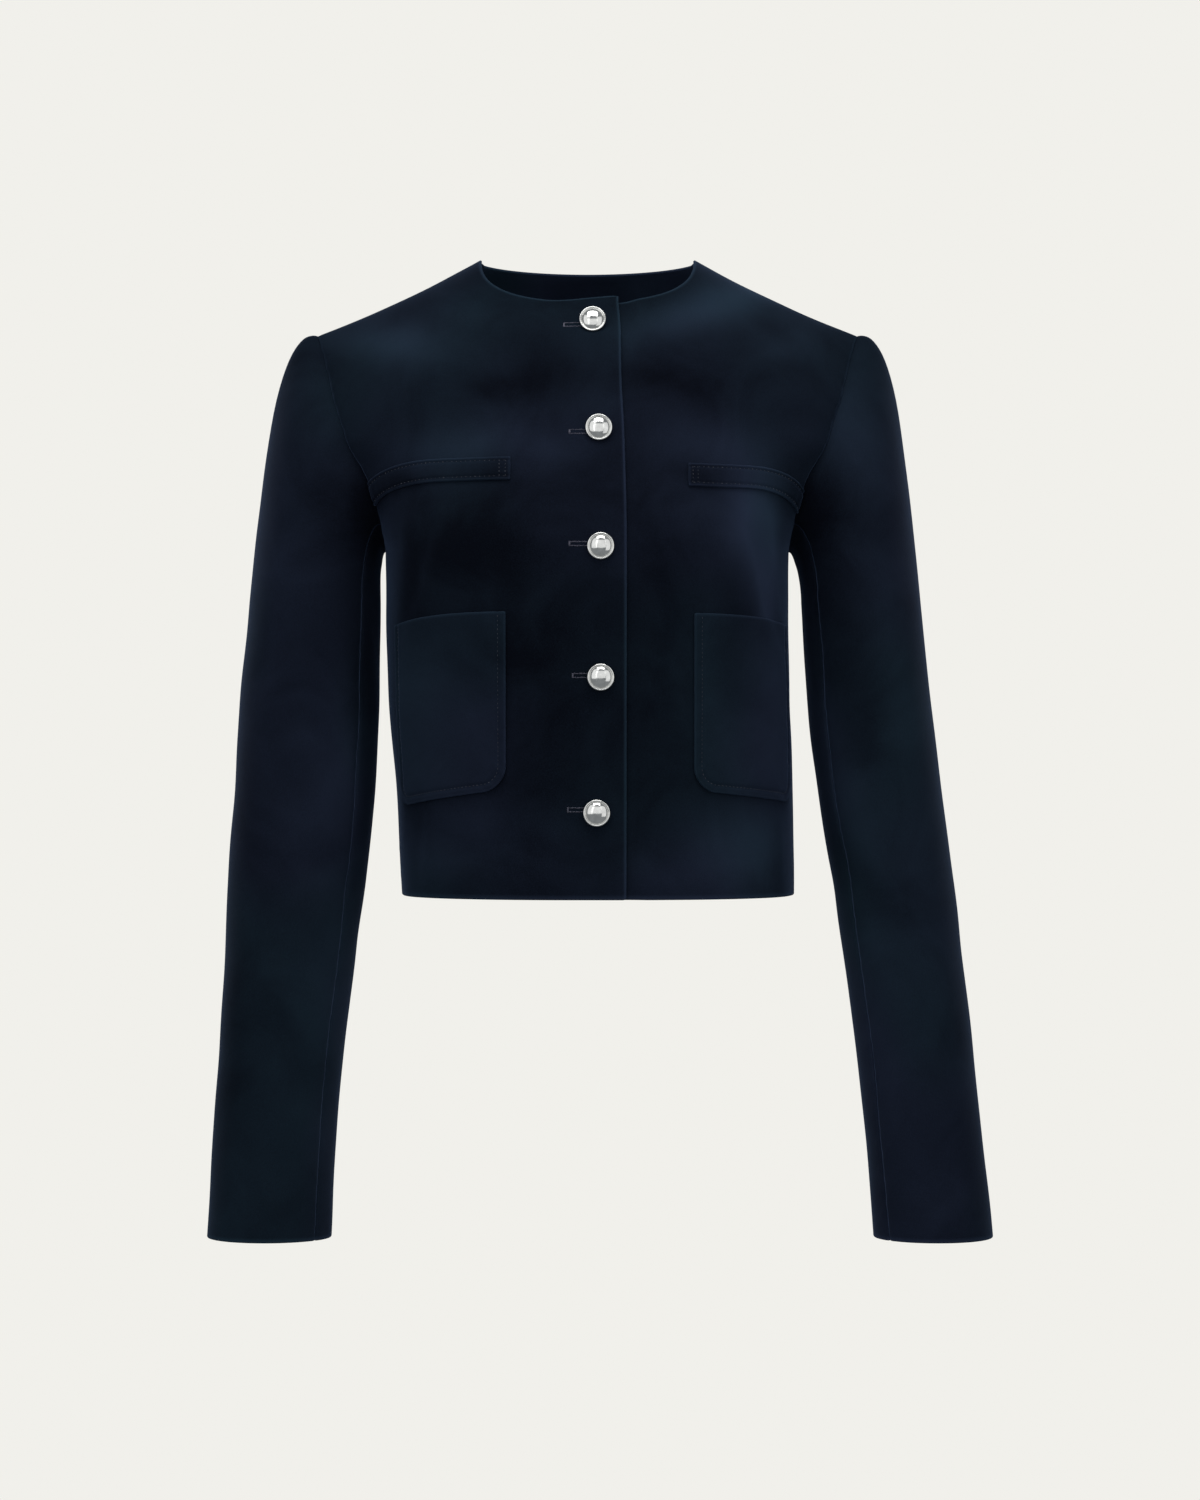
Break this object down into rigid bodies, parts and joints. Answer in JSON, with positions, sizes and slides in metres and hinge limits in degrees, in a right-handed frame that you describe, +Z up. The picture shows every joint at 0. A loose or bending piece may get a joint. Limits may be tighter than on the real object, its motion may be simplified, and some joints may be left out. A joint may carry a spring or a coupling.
{
  "type": "velvet jacket",
  "caption": "Cropped collarless velvet jacket, hollow as worn, with set-in sleeves, patch pockets, chest welts and a buttoned front.",
  "frame": {"origin": "midway between the two neck points, at the height of the top of the shoulder line", "axes": "+Z up, the front faces -Y, +X is the wearer's left"},
  "size_m": [0.5381, 0.251, 0.6697],
  "materials": {
    "velvet": "midnight-navy cotton velvet, matt with a bluish sheen at grazing angles",
    "silver": "polished silver-coloured metal"
  },
  "bodies": {
    "root": {"front_right": "velvet", "front_left": "velvet", "back": "velvet", "top_sleeve_right": "velvet", "under_sleeve_right": "velvet", "top_sleeve_left": "velvet", "under_sleeve_left": "velvet", "patch_pocket_right": "velvet", "patch_pocket_left": "velvet", "chest_welt_right": "velvet", "chest_welt_left": "velvet", "button_1": "silver", "button_2": "silver", "button_3": "silver", "button_4": "silver", "button_5": "silver"}
  },
  "joints": []
}
